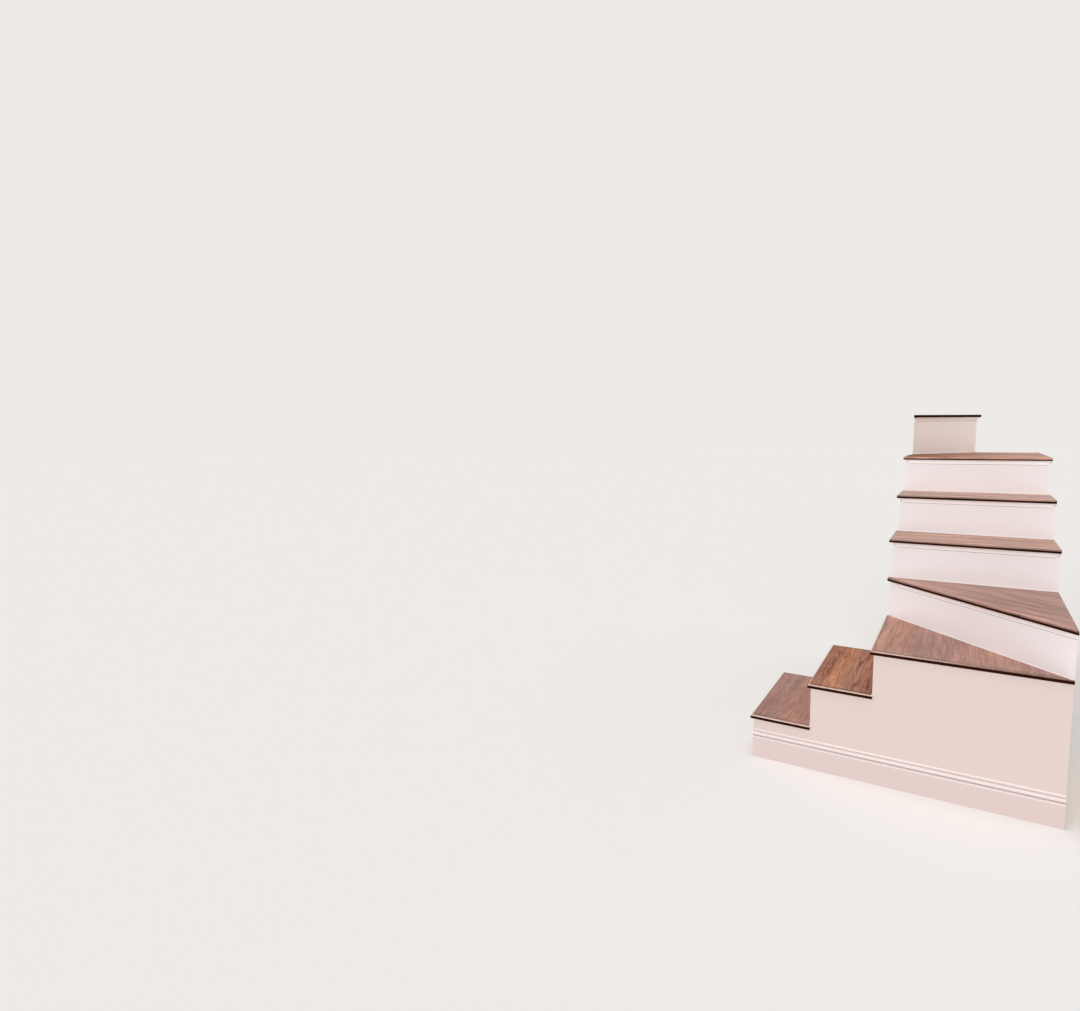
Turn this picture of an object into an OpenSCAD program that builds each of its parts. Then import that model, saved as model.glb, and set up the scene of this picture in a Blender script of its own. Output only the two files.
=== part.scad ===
// Boxed quarter-turn winder stair with a corner box step, for a small house.
// It climbs along +X, turns left round its inner corner and climbs on along +Y.
// Origin: the inner corner of the turn, at floor level. Lengths are in millimetres.

/* [Lower flight] */
// Rise of every step from the floor to the landing
rise = 203; // [180:1:215]
// Going of each tread in the lower flight
lower_going = 258; // [230:1:300]
// Width of the lower flight, front panel face to back panel face
lower_width = 690; // [600:10:850]
// Thickness of the three lowest treads
lower_tread_t = 15; // [11:1:18]
// Nosing of the three lowest treads, past the riser below
lower_nosing = 14; // [10:1:22]
// Overhang of the three lowest treads past the front panel
front_overhang = 11; // [6:1:20]

/* [Upper flight] */
// Width of the upper flight, open side to closed side
upper_width = 705; // [600:5:850]
// Going of each tread in the upper flight
upper_going = 340; // [300:5:380]
// Depth of the landing, riser face to back edge
landing_depth = 930; // [820:10:1100]
// Thickness of the upper treads, the landing and the box step's top
upper_tread_t = 17; // [14:1:28]
// Nosing of the upper treads, past the riser below
upper_nosing = 24; // [20:1:32]
// Overhang of the upper treads past the open side
side_overhang = 16; // [12:1:22]

/* [Box step] */
// Rise from the landing to the top of the box step
box_rise = 257; // [200:1:290]
// Length of the box step along the landing's left edge
box_side_len = 435; // [400:5:500]
// Length of the box step along the landing's back edge
box_back_len = 351; // [300:1:440]
// Nosing of the box step's top
box_nosing = 20; // [18:1:30]

/* [Carcass] */
// Thickness of panels, risers and cleats
board = 19; // [15:1:22]
// How far a riser runs down behind the tread in front of it
riser_drop = 38; // [30:2:50]
// Thickness of the landing's joists and ledger
joist_t = 38; // [30:1:45]
// Depth of the landing's joists and ledger
joist_h = 89; // [80:1:120]

/* [Niche] */
// Clear height of the niche under the upper flight
niche_height = 940; // [900:5:1050]
// Least depth of the upper flight's sides under a tread
side_depth = 50; // [40:5:54]
// Length of the niche, between its two end panels
niche_length = 997; // [900:1:1020]

/* [Mouldings] */
// Height of the cove under the upper nosings
cove_height = 23; // [19:1:26]
// Projection of the cove
cove_size = 16; // [12:1:18]
// Flat lip left at the top and foot of the cove
cove_lip = 2; // [1:0.5:3]
// How far a cove's return stands in from the end of its tread
cove_inset = 14; // [6:1:20]
// Where the cove under the second winder starts, along the diagonal riser
turn_cove_start = 56; // [30:2:80]
// Height of the baseboard
base_height = 137; // [110:1:160]
// Thickness of the baseboard's plain lower part
base_t = 12; // [10:0.5:13.5]
// Height of the moulded band, from the quirk's middle to the baseboard's top
base_cap = 32; // [30:1:44]
// Thickness of the baseboard at its top edge
base_top_t = 7; // [5:0.5:8]
// Radius of the baseboard's rounded top arris
base_bead = 2; // [1:0.5:3]
// Radius of the quirk at the foot of the moulded band
base_quirk = 4.5; // [3:0.25:5]
// Depth of the quirk below the baseboard's face
quirk_depth = 4; // [2:0.5:4.5]
// Radius of the hollow in the moulded band
hollow_r = 10; // [9:0.5:11]
// How far the hollow's centre stands out from the baseboard's face
hollow_out = 3; // [2.5:0.5:5]
// How far the hollow's centre lies below the baseboard's top
hollow_drop = 11; // [10:0.5:13]
// Radius that eases the edges of the three lowest treads
lower_ease = 4; // [2:0.5:5]
// Radius that eases the edges of the upper treads
upper_ease = 6; // [2:0.5:6.5]

/* [Hidden] */
$fn = 48;

wood = "#8a6253";
paint = "#ece4df";
timber = "#d8bd92";

// Faces of the risers: x for steps 1 to 3, y for steps 5 to 7
riser_x = [0, -2 * lower_going, -lower_going, 0];
first_upper_y = board;
riser_y = [0, 0, 0, 0, 0, first_upper_y, first_upper_y + upper_going, first_upper_y + 2 * upper_going];
back_y = riser_y[7] + landing_depth;
niche_back_y = riser_y[5] + board + niche_length;

// Tops of the treads, from the floor at 0 to the box step at 8
landing_z = 7 * rise;
top_z = [for (i = [0 : 8]) i < 8 ? i * rise : landing_z + box_rise];

// Undersides of the treads
function under_z(i) = top_z[i] - (i < 4 ? lower_tread_t : upper_tread_t);

// The turn's diagonal riser, from the inner corner to the outer one
turn_length = sqrt(pow(upper_width, 2) + pow(lower_width, 2));
turn_angle = atan2(lower_width, upper_width);
// How far an offset of 1 from the diagonal moves it along Y and along X
turn_per_y = turn_length / upper_width;
turn_per_x = turn_length / lower_width;

// The box step's diagonal face, from the landing's left edge to its back edge
box_front_y = back_y - box_side_len;
box_length = sqrt(pow(box_side_len, 2) + pow(box_back_len, 2));
box_angle = atan2(box_side_len, box_back_len);
box_per_y = box_length / box_back_len;
box_per_x = box_length / box_side_len;
box_slope = box_side_len / box_back_len;

// Longer than any board, for the bodies that the edge sections are cut from
reach = 4000;
overrun = 50;

// A flat board of a given thickness, from its outline in plan
module plan_board(z, t) {
    translate([0, 0, z]) linear_extrude(t) children();
}

// An upright board from its outline in X and Z, with its near face at y
module board_across(y, t) {
    translate([0, y + t, 0]) rotate([90, 0, 0]) linear_extrude(t) children();
}

// An upright board from its outline in Y and Z, with its left face at x
module board_along(x, t) {
    translate([x, 0, 0]) rotate([90, 0, 90]) linear_extrude(t) children();
}

// Section of a board's edge, eased above and below, with the edge at 0
module eased_edge(t, ease) {
    translate([ease, 0]) square([reach, t]);
    translate([0, ease]) square([reach, t - 2 * ease]);
    translate([ease, ease]) circle(ease);
    translate([ease, t - ease]) circle(ease);
}

// Everything behind an eased front edge that runs along X at y
module eased_front(y, z, t, ease) {
    translate([-reach / 2, y, z]) rotate([90, 0, 90]) linear_extrude(reach) eased_edge(t, ease);
}

// Everything to the right of an eased edge that runs along Y at x
module eased_left(x, z, t, ease) {
    translate([x, reach / 2, z]) rotate([90, 0, 0]) linear_extrude(reach) eased_edge(t, ease);
}

// Lower treads: a front and a left nosing, with the back edge against the next riser
module lower_tread(i) {
    color(wood) intersection() {
        plan_board(under_z(i), lower_tread_t)
            polygon([[riser_x[i] - lower_nosing, -lower_width - front_overhang],
                [riser_x[i + 1], -lower_width - front_overhang],
                [riser_x[i + 1], 0],
                [riser_x[i] - lower_nosing, 0]]);
        eased_front(-lower_width - front_overhang, under_z(i), lower_tread_t, lower_ease);
        eased_left(riser_x[i] - lower_nosing, under_z(i), lower_tread_t, lower_ease);
    }
}

module tread_1() {
    lower_tread(1);
}

module tread_2() {
    lower_tread(2);
}

// First winder: the lower triangle of the turn, up to the diagonal riser
module tread_3() {
    color(wood) intersection() {
        plan_board(under_z(3), lower_tread_t)
            polygon([[-lower_nosing, -lower_width - front_overhang],
                [upper_width, -lower_width - front_overhang],
                [upper_width, -lower_width],
                [0, 0],
                [-lower_nosing, 0]]);
        eased_front(-lower_width - front_overhang, under_z(3), lower_tread_t, lower_ease);
        eased_left(-lower_nosing, under_z(3), lower_tread_t, lower_ease);
    }
}

// Second winder: the upper triangle, nosed along the diagonal and returned at its narrow tip
module tread_4() {
    color(wood) intersection() {
        plan_board(under_z(4), upper_tread_t)
            polygon([[-side_overhang, side_overhang * lower_width / upper_width - upper_nosing * turn_per_y],
                [upper_width, -lower_width - upper_nosing * turn_per_y],
                [upper_width, riser_y[5]],
                [-side_overhang, riser_y[5]]]);
        rotate([0, 0, -turn_angle]) eased_front(-upper_nosing, under_z(4), upper_tread_t, upper_ease);
        eased_left(-side_overhang, under_z(4), upper_tread_t, upper_ease);
    }
}

// Upper treads: nosed in front and returned on the open side
module upper_tread(i) {
    color(wood) intersection() {
        plan_board(under_z(i), upper_tread_t)
            polygon([[-side_overhang, riser_y[i] - upper_nosing],
                [upper_width, riser_y[i] - upper_nosing],
                [upper_width, riser_y[i + 1]],
                [-side_overhang, riser_y[i + 1]]]);
        eased_front(riser_y[i] - upper_nosing, under_z(i), upper_tread_t, upper_ease);
        eased_left(-side_overhang, under_z(i), upper_tread_t, upper_ease);
    }
}

module tread_5() {
    upper_tread(5);
}

module tread_6() {
    upper_tread(6);
}

// Landing: overhangs the open side over the niche, and is flush with it past the niche
module tread_7() {
    color(wood) intersection() {
        plan_board(under_z(7), upper_tread_t)
            polygon([[-side_overhang, riser_y[7] - upper_nosing],
                [upper_width, riser_y[7] - upper_nosing],
                [upper_width, back_y],
                [0, back_y],
                [0, niche_back_y],
                [-side_overhang, niche_back_y]]);
        eased_front(riser_y[7] - upper_nosing, under_z(7), upper_tread_t, upper_ease);
        eased_left(-side_overhang, under_z(7), upper_tread_t, upper_ease);
    }
}

// Top of the box step: a triangle nosed along its long side
module tread_8() {
    color(wood) intersection() {
        plan_board(under_z(8), upper_tread_t)
            polygon([[0, box_front_y - box_nosing * box_per_y],
                [box_back_len + box_nosing * box_per_x, back_y],
                [0, back_y]]);
        translate([0, box_front_y, 0]) rotate([0, 0, box_angle])
            eased_front(-box_nosing, under_z(8), upper_tread_t, upper_ease);
    }
}

// Lower risers stand between the front and back panels
module lower_riser(i, bottom) {
    color(paint) board_along(riser_x[i], board)
        translate([-lower_width + board, bottom])
            square([lower_width - 2 * board, under_z(i) - bottom]);
}

module riser_1() {
    lower_riser(1, 0);
}

module riser_2() {
    lower_riser(2, under_z(1) - riser_drop);
}

module riser_3() {
    lower_riser(3, under_z(2) - riser_drop);
}

// Diagonal riser between the two winders, cut off square at the end panel and at the closed side
module riser_4() {
    color(paint) plan_board(under_z(3), under_z(4) - under_z(3))
        polygon([[0, 0],
            [board * turn_per_x, 0],
            [upper_width, -lower_width + board * turn_per_y],
            [upper_width, -lower_width]]);
}

// Upper risers stand between the two stringers
module upper_riser(i) {
    color(paint) board_across(riser_y[i], board)
        translate([board, under_z(i - 1) - riser_drop])
            square([upper_width - 2 * board, under_z(i) - under_z(i - 1) + riser_drop]);
}

module riser_5() {
    upper_riser(5);
}

module riser_6() {
    upper_riser(6);
}

module riser_7() {
    upper_riser(7);
}

// Diagonal front of the box step
module riser_8() {
    color(paint) plan_board(top_z[7], under_z(8) - top_z[7])
        polygon([[0, box_front_y],
            [box_back_len, back_y],
            [box_back_len - board * box_per_x, back_y],
            [0, box_front_y + board * box_per_y]]);
}

// Section of the cove, with its back at 0 and its foot at 0: a flat foot, a hollow and a lip
module cove_section() {
    hollow = cove_size - cove_lip;
    foot = cove_height - cove_size;
    square([cove_lip, cove_height]);
    difference() {
        translate([0, foot]) square([cove_size, cove_size]);
        translate([cove_size, foot]) circle(hollow);
    }
}

// Front view of a cove whose ends are mitred and returned to the riser
module returned_view(length, right_return) {
    square([length, cove_height]);
    mirror([1, 0]) cove_section();
    translate([length, 0]) {
        if (right_return) {
            cove_section();
        }
        if (!right_return) {
            square([overrun, cove_height]);
        }
    }
}

// Cove along X, its back on y = 0 and its foot on z = 0, standing out towards -Y
module cove(length, right_return = true) {
    color(paint) intersection() {
        translate([-cove_size, 0, 0]) mirror([0, 1, 0]) rotate([90, 0, 90])
            linear_extrude(length + cove_size + overrun) cove_section();
        rotate([90, 0, 0]) linear_extrude(cove_size) returned_view(length, right_return);
    }
}

// Under the second winder: returned at the narrow end, cut off at the closed side
module cove_4() {
    intersection() {
        rotate([0, 0, -turn_angle]) translate([turn_cove_start, 0, under_z(4) - cove_height])
            cove(turn_length - turn_cove_start, false);
        color(paint) translate([-reach + upper_width, -reach / 2, 0]) cube([reach, reach, reach]);
    }
}

// Under the upper treads: returned inside the tread's overhang and at the closed side
module upper_cove(i) {
    left_end = cove_inset + cove_size - side_overhang;
    translate([left_end, riser_y[i], under_z(i) - cove_height])
        cove(upper_width - left_end - cove_size);
}

module cove_5() {
    upper_cove(5);
}

module cove_6() {
    upper_cove(6);
}

module cove_7() {
    upper_cove(7);
}

// Under the box step's top: returned at the left end, cut off at the landing's back edge
module cove_8() {
    left_end = cove_inset + cove_size;
    intersection() {
        translate([0, box_front_y, under_z(8) - cove_height]) rotate([0, 0, box_angle])
            translate([left_end, 0, 0]) cove(box_length - left_end, false);
        color(paint) translate([-reach / 2, back_y - reach, 0]) cube([reach, reach, reach]);
    }
}

// Stepped outline of the lower flight's side, from riser 1 to a given right end
module lower_side_outline(right_end) {
    polygon([[riser_x[1], 0],
        [right_end, 0],
        [right_end, under_z(3)],
        [riser_x[3], under_z(3)],
        [riser_x[3], under_z(2)],
        [riser_x[2], under_z(2)],
        [riser_x[2], under_z(1)],
        [riser_x[1], under_z(1)]]);
}

// One sheet that follows the line of the first three treads, as far as the closed side
module front_panel() {
    color(paint) board_across(-lower_width, board) lower_side_outline(upper_width);
}

// The same on the hidden side, lapped on the niche's end panel
module lower_back_panel() {
    color(paint) board_across(-board, board) lower_side_outline(board);
}

// Bulkhead under the back edge of the second winder, between the turn and the niche
module niche_end_panel() {
    color(paint) board_across(riser_y[5] - board, board) square([upper_width, under_z(4)]);
}

// Bulkhead under the landing, at the far end of the niche
module niche_back_panel() {
    color(paint) board_across(niche_back_y, board)
        translate([board, 0]) square([upper_width - 2 * board, under_z(7)]);
}

// Closed side of the turn, notched round the end of the diagonal riser
module winder_wall_panel() {
    riser_back_y = -lower_width + board * (lower_width / upper_width + turn_per_y);
    color(paint) board_along(upper_width - board, board)
        polygon([[-lower_width + board, 0],
            [riser_y[5] - board, 0],
            [riser_y[5] - board, under_z(4)],
            [riser_back_y, under_z(4)],
            [riser_back_y, under_z(3)],
            [-lower_width + board, under_z(3)]]);
}

// Underside of the upper flight's sides at step i: level over the niche, and lower under a low tread
function side_foot_z(i) = min(niche_height, under_z(i) - side_depth);

// One step of the upper flight's side: a post at the riser, down to its foot, and the part under the tread
module side_step(i, post_foot, far_end) {
    translate([riser_y[i], post_foot]) square([board, under_z(i) - post_foot]);
    translate([riser_y[i], side_foot_z(i)])
        square([far_end - riser_y[i], under_z(i) - side_foot_z(i)]);
}

// Stepped side of the upper flight over the niche, with a foot on the end panel
module upper_side_outline(far_end) {
    side_step(5, under_z(4) - riser_drop, riser_y[6] + board);
    side_step(6, side_foot_z(5), riser_y[7] + board);
    side_step(7, side_foot_z(6), far_end);
}

module left_stringer() {
    color(paint) board_along(0, board) upper_side_outline(niche_back_y);
}

module wall_stringer() {
    color(paint) board_along(upper_width - board, board) upper_side_outline(back_y);
}

// Open side of the landing, past the niche
module landing_side_panel() {
    color(paint) board_along(0, board)
        translate([niche_back_y, 0]) square([back_y - niche_back_y, under_z(7)]);
}

// Cleat on the next riser, under a tread's back edge
module tread_cleat(i) {
    color(timber) board_across(riser_y[i + 1] - board, board)
        translate([board, under_z(i) - riser_drop]) square([upper_width - 2 * board, riser_drop]);
}

module tread_cleat_5() {
    tread_cleat(5);
}

module tread_cleat_6() {
    tread_cleat(6);
}

// Joist under the landing, between the two sides
module landing_joist(y) {
    color(timber) board_across(y, joist_t)
        translate([board, under_z(7) - joist_h]) square([upper_width - 2 * board, joist_h]);
}

// Halfway between the top riser and the niche's back panel
module landing_joist_1() {
    landing_joist((riser_y[7] + board + niche_back_y - joist_t) / 2);
}

// Halfway between the niche's back panel and the ledger
module landing_joist_2() {
    landing_joist((niche_back_y + board + back_y - 2 * joist_t) / 2);
}

module landing_ledger() {
    landing_joist(back_y - joist_t);
}

// Section of the baseboard: a plain face, a quirk, a hollow and a thin rounded top
module base_section() {
    hollow_z = base_height - hollow_drop;
    difference() {
        union() {
            square([base_t, hollow_z]);
            square([base_top_t, base_height - base_bead]);
            square([base_top_t - base_bead, base_height]);
            translate([base_top_t - base_bead, base_height - base_bead]) circle(base_bead);
        }
        translate([base_t + base_quirk - quirk_depth, base_height - base_cap]) circle(base_quirk);
        translate([base_t + hollow_out, hollow_z]) circle(hollow_r);
    }
}

// Baseboard along X with its back on y = 0, standing out towards -Y, cut square at both ends
module base_along_x(from_x, to_x) {
    color(paint) translate([from_x, 0, 0]) mirror([0, 1, 0]) rotate([90, 0, 90])
        linear_extrude(to_x - from_x) base_section();
}

// From the first riser's face to the closed side
module baseboard_front() {
    translate([0, -lower_width, 0]) base_along_x(riser_x[1], upper_width);
}

// From the first riser's face to the niche
module baseboard_back() {
    mirror([0, 1, 0]) base_along_x(riser_x[1], 0);
}

// Side of the box step, along the landing's left edge
module box_step_side() {
    color(paint) plan_board(top_z[7], under_z(8) - top_z[7])
        polygon([[0, box_front_y + board * box_per_y],
            [board, box_front_y + board * (box_per_y + box_slope)],
            [board, back_y],
            [0, back_y]]);
}

// Back of the box step, along the landing's back edge
module box_step_back() {
    color(paint) plan_board(top_z[7], under_z(8) - top_z[7])
        polygon([[board, back_y - board],
            [box_back_len - board * (box_per_x + 1 / box_slope), back_y - board],
            [box_back_len - board * box_per_x, back_y],
            [board, back_y]]);
}

tread_1();
tread_2();
tread_3();
tread_4();
tread_5();
tread_6();
tread_7();
tread_8();
riser_1();
riser_2();
riser_3();
riser_4();
riser_5();
riser_6();
riser_7();
riser_8();
cove_4();
cove_5();
cove_6();
cove_7();
cove_8();
front_panel();
lower_back_panel();
niche_end_panel();
niche_back_panel();
winder_wall_panel();
left_stringer();
wall_stringer();
landing_side_panel();
tread_cleat_5();
tread_cleat_6();
landing_joist_1();
landing_joist_2();
landing_ledger();
baseboard_front();
baseboard_back();
box_step_side();
box_step_back();
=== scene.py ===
import math
import random

import bmesh
import bpy
from mathutils import Matrix, Vector


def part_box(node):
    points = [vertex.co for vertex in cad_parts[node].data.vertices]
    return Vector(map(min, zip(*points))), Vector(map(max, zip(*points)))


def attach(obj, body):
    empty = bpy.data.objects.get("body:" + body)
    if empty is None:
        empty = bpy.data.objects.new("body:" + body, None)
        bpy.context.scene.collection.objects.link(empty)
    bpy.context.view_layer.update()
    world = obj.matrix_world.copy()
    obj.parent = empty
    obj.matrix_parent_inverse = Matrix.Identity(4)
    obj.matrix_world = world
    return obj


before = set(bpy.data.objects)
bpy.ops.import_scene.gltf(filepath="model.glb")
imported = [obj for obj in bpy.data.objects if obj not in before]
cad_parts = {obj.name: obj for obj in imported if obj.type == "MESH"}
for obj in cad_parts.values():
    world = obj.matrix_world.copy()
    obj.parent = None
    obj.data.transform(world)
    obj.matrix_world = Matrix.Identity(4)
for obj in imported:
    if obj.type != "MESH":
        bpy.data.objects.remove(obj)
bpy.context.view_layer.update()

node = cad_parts


# Viewpoint: an eye about 1.6 m above the floor and 4 m in front of the turn. It looks slightly down
# and past the left of the stair, which therefore stands at the right of the picture.
focal_px = 679.47
picture_width_px = 1080
eye = Vector((0.3159, -3.9503, 1.5917))
eye_right = Vector((0.8462873, 0.5325906, -0.0120446))
eye_up = Vector((-0.0466158, 0.0965574, 0.9942352))
eye_back = Vector((0.5306833, -0.8408472, 0.1065424))
lens = bpy.data.cameras.new("viewpoint")
lens.sensor_width = 36
lens.sensor_fit = "HORIZONTAL"
lens.lens = focal_px / picture_width_px * lens.sensor_width
lens.clip_end = 200
viewpoint = bpy.data.objects.new("viewpoint", lens)
aimed = Matrix((eye_right, eye_up, eye_back)).transposed().to_4x4()
viewpoint.matrix_world = Matrix.Translation(eye) @ aimed
bpy.context.scene.collection.objects.link(viewpoint)
bpy.context.scene.camera = viewpoint
bpy.context.scene.view_settings.view_transform = "Standard"


# Studio: a pale matt floor under plain white light. The sky lights every side evenly, a wide lamp
# overhead lights the tops, and a low, very wide one in front reaches under the nosings.
def linear(srgb):
    """An sRGB hex value as linear red, green, blue and alpha."""
    parts = [int(srgb[i:i + 2], 16) / 255 for i in (1, 3, 5)]
    parts = [p / 12.92 if p <= 0.04045 else ((p + 0.055) / 1.055) ** 2.4 for p in parts]
    return tuple(parts) + (1.0,)


def put(tree, kind, inputs=None, out=None, stops=None, **settings):
    """Adds a node and gives it back, or only its output of the name or number in out.
    A socket in inputs is linked, any other value is set, and stops fill a colour ramp."""
    made = tree.nodes.new("ShaderNode" + kind)
    for key, value in settings.items():
        setattr(made, key, value)
    for key, value in (inputs or {}).items():
        if isinstance(value, bpy.types.NodeSocket):
            tree.links.new(value, made.inputs[key])
        else:
            made.inputs[key].default_value = value
    if stops:
        while len(made.color_ramp.elements) < len(stops):
            made.color_ramp.elements.new(1.0)
        for element, (spot, colour) in zip(made.color_ramp.elements, stops):
            element.position = spot
            element.color = colour
    return made if out is None else made.outputs[out]


def new_material(name):
    """An empty material and its node tree."""
    made = bpy.data.materials.new(name)
    made.use_nodes = True
    made.node_tree.nodes.clear()
    return made, made.node_tree


backdrop_tone = linear("#edeae7")
sky = bpy.data.worlds.new("studio_sky")
bpy.context.scene.world = sky
sky.use_nodes = True
tree = sky.node_tree
tree.nodes.clear()
sky_light = put(tree, "Background", {"Color": (1, 1, 1, 1), "Strength": 0.48}, out=0)
sky_seen = put(tree, "Background", {"Color": backdrop_tone, "Strength": 1.0}, out=0)
rays = put(tree, "LightPath")
seen = put(tree, "Math", {0: rays.outputs["Is Camera Ray"], 1: rays.outputs["Is Glossy Ray"]},
           out=0, operation="MAXIMUM")
seen = put(tree, "Math", {0: seen, 1: rays.outputs["Is Transmission Ray"]}, out=0,
           operation="MAXIMUM")
sky_mix = put(tree, "MixShader", {0: seen, 1: sky_light, 2: sky_seen}, out=0)
put(tree, "OutputWorld", {"Surface": sky_mix})

for name, energy, spread, aim in (("high_lamp", 1.1, 40, (0.06, 0.14, -0.99)),
                                  ("front_lamp", 1.62, 50, (0.1, 0.97, -0.15))):
    light = bpy.data.lights.new(name, "SUN")
    light.energy = energy
    light.angle = math.radians(spread)
    lamp = bpy.data.objects.new(name, light)
    lamp.rotation_euler = Vector(aim).to_track_quat("-Z", "Y").to_euler()
    bpy.context.scene.collection.objects.link(lamp)

floor_mesh = bpy.data.meshes.new("studio_floor")
sheet = bmesh.new()
bmesh.ops.create_circle(sheet, cap_ends=True, segments=96, radius=60)
sheet.to_mesh(floor_mesh)
sheet.free()
studio_floor = bpy.data.objects.new("studio_floor", floor_mesh)
bpy.context.scene.collection.objects.link(studio_floor)
floor_paint, tree = new_material("matt_floor_paint")
floor_shader = put(tree, "BsdfDiffuse", {"Color": linear("#f6f3f0"), "Roughness": 0.0}, out=0)
put(tree, "OutputMaterial", {"Surface": floor_shader})
floor_mesh.materials.append(floor_paint)


# Lower treads: hardwood planks laid side by side along Y, stained, and finished with a satin
# lacquer. The top is pale along its open edges, partly worn and partly a painted highlight, and
# the sawn edge below them is nearly black, partly its stain and partly painted shade.
def stained_wood(name, turn, stave, across, top, dark_from, gloss, veins, streaks, streak_wide,
                 seed, worn=None, nosing=None, painted_light_ends=None):
    """turn: the grain's angle from X in degrees. stave: the width of one plank.
    across: (start, end, tone stops) along the line at right angles to the grain.
    top: the height of the face. dark_from: how far below it the edge turns nearly black, partly
    its stain and partly painted shade.
    gloss: how strongly the lacquer mirrors, 0.5 in full. It is less where the studio's pale mirror
    image would wash out the tone.
    veins, streaks: how strong they are. streak_wide: how wide a streak is.
    worn: (low corner, high corner, tone) of a tread whose arrises are pale: partly worn, partly
    a painted highlight.
    nosing: (direction to the back, where the front is along it, width, tone, highlight strip) of a
    rounded nosing. Its deeper tone is painted shade where the top's sheen ends, and the strip is a
    painted highlight: (how much paler, full as far back as, gone at).
    painted_light_ends: what the left and the right end multiply the tone's red, green and blue
    by, a painted change of light along the tread."""
    made, tree = new_material(name)
    place = put(tree, "TexCoord", out="Object")
    at = put(tree, "SeparateXYZ", {0: place})
    board = put(tree, "Mapping", {"Vector": place, "Rotation": (0, 0, math.radians(-turn))}, out=0)
    side = put(tree, "SeparateXYZ", {0: board}, out="Y")
    first, last, tones = across

    # Each plank is cut from another log, so its grain is moved by a random length and depth
    plank = put(tree, "Math", {0: side, 1: first}, out=0, operation="SUBTRACT")
    plank = put(tree, "Math", {0: plank, 1: stave}, out=0, operation="DIVIDE")
    plank_no = put(tree, "Math", {0: plank}, out=0, operation="FLOOR")
    own = put(tree, "Math", {0: plank_no, 1: seed + 0.5}, out=0, operation="ADD")
    own = put(tree, "TexWhiteNoise", {"W": own}, out=1, noise_dimensions="1D")
    moved = put(tree, "VectorMath", {0: own, 1: (3.0, 0.4, 0.0), 2: board}, out=0,
                operation="MULTIPLY_ADD")
    # The grain wanders sideways by some 10 mm in half a metre, so no line in it is quite straight
    wander = put(tree, "Mapping", {"Vector": moved, "Scale": (2.2, 6, 6)}, out=0)
    wander = put(tree, "TexNoise", {"Vector": wander, "Scale": 1.0, "Detail": 1.0}, out=0)
    wander = put(tree, "CombineXYZ", {1: wander}, out=0)
    grain = put(tree, "VectorMath", {0: wander, 1: (0, 0.055, 0), 2: moved}, out=0,
                operation="MULTIPLY_ADD")

    # Year rings cut nearly flat: soft lines some 11 mm apart, strong in one place, faint in another
    ring_gap = 0.011
    ring = put(tree, "SeparateXYZ", {0: grain}, out="Y")
    ring = put(tree, "Math", {0: ring, 1: ring_gap}, out=0, operation="DIVIDE")
    ring = put(tree, "Math", {0: ring}, out=0, operation="FRACT")
    late = put(tree, "ValToRGB", {0: ring}, out=0,
               stops=((0.0, (0, 0, 0, 1)), (0.4, (0.1, 0.1, 0.1, 1)), (0.82, (1, 1, 1, 1)),
                      (1.0, (0, 0, 0, 1))))
    ring_area = put(tree, "Mapping", {"Vector": moved, "Scale": (5, 28, 28)}, out=0)
    ring_area = put(tree, "TexNoise", {"Vector": ring_area, "Scale": 1.0, "Detail": 2.0}, out=0)
    ring_area = put(tree, "MapRange", {0: ring_area, 1: 0.4, 2: 0.62, 3: 0.15, 4: 1.0}, out=0)
    late = put(tree, "Math", {0: late, 1: ring_area}, out=0, operation="MULTIPLY")
    # Fibre 4 mm wide and pores as dark dashes 3 mm wide. Both are finer than 1 mm in the real wood
    # and are drawn coarser so that they show.
    fibre = put(tree, "Mapping", {"Vector": grain, "Scale": (9, 260, 260)}, out=0)
    fibre = put(tree, "TexNoise",
                {"Vector": fibre, "Scale": 1.0, "Detail": 3.0, "Roughness": 0.6}, out=0)
    pores = put(tree, "Mapping", {"Vector": grain, "Scale": (16, 330, 330)}, out=0)
    pores = put(tree, "TexNoise", {"Vector": pores, "Scale": 1.0, "Detail": 1.0}, out=0)
    pores = put(tree, "MapRange", {0: pores, 1: 0.58, 2: 0.68, 3: 0.0, 4: 1.0}, out=0)
    pores = put(tree, "Math", {0: pores, 1: ring_area}, out=0, operation="MULTIPLY")
    # Streaks ten times as long as they are wide, where one year's wood took more of the stain
    streak_scale = (0.1 / streak_wide, 1 / streak_wide, 1 / streak_wide)
    streak = put(tree, "Mapping", {"Vector": grain, "Scale": streak_scale}, out=0)
    streak = put(tree, "TexNoise",
                 {"Vector": streak, "Scale": 1.0, "Detail": 5.0, "Roughness": 0.62}, out=0)
    # Bands some 60 mm wide, from one side of the log to the other
    drift = put(tree, "Mapping", {"Vector": moved, "Scale": (2.5, 16, 16)}, out=0)
    drift = put(tree, "TexNoise",
                {"Vector": drift, "Scale": 1.0, "Detail": 4.0, "Roughness": 0.65}, out=0)
    shade = 1.0
    for figure, low, high, light, dark in (
            (late, 0.0, 1.0, 1.04, 0.90),
            (fibre, 0.3, 0.7, 0.80, 1.20),
            (pores, 0.0, 1.0, 1.02, 0.64),
            (streak, 0.38, 0.62, 1.0 + 0.24 * streaks, 1.0 - 0.24 * streaks),
            (drift, 0.38, 0.62, 1.09, 0.90)):
        figure = put(tree, "MapRange", {0: figure, 1: low, 2: high, 3: light, 4: dark}, out=0)
        shade = put(tree, "Math", {0: figure, 1: shade}, out=0, operation="MULTIPLY")

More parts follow.
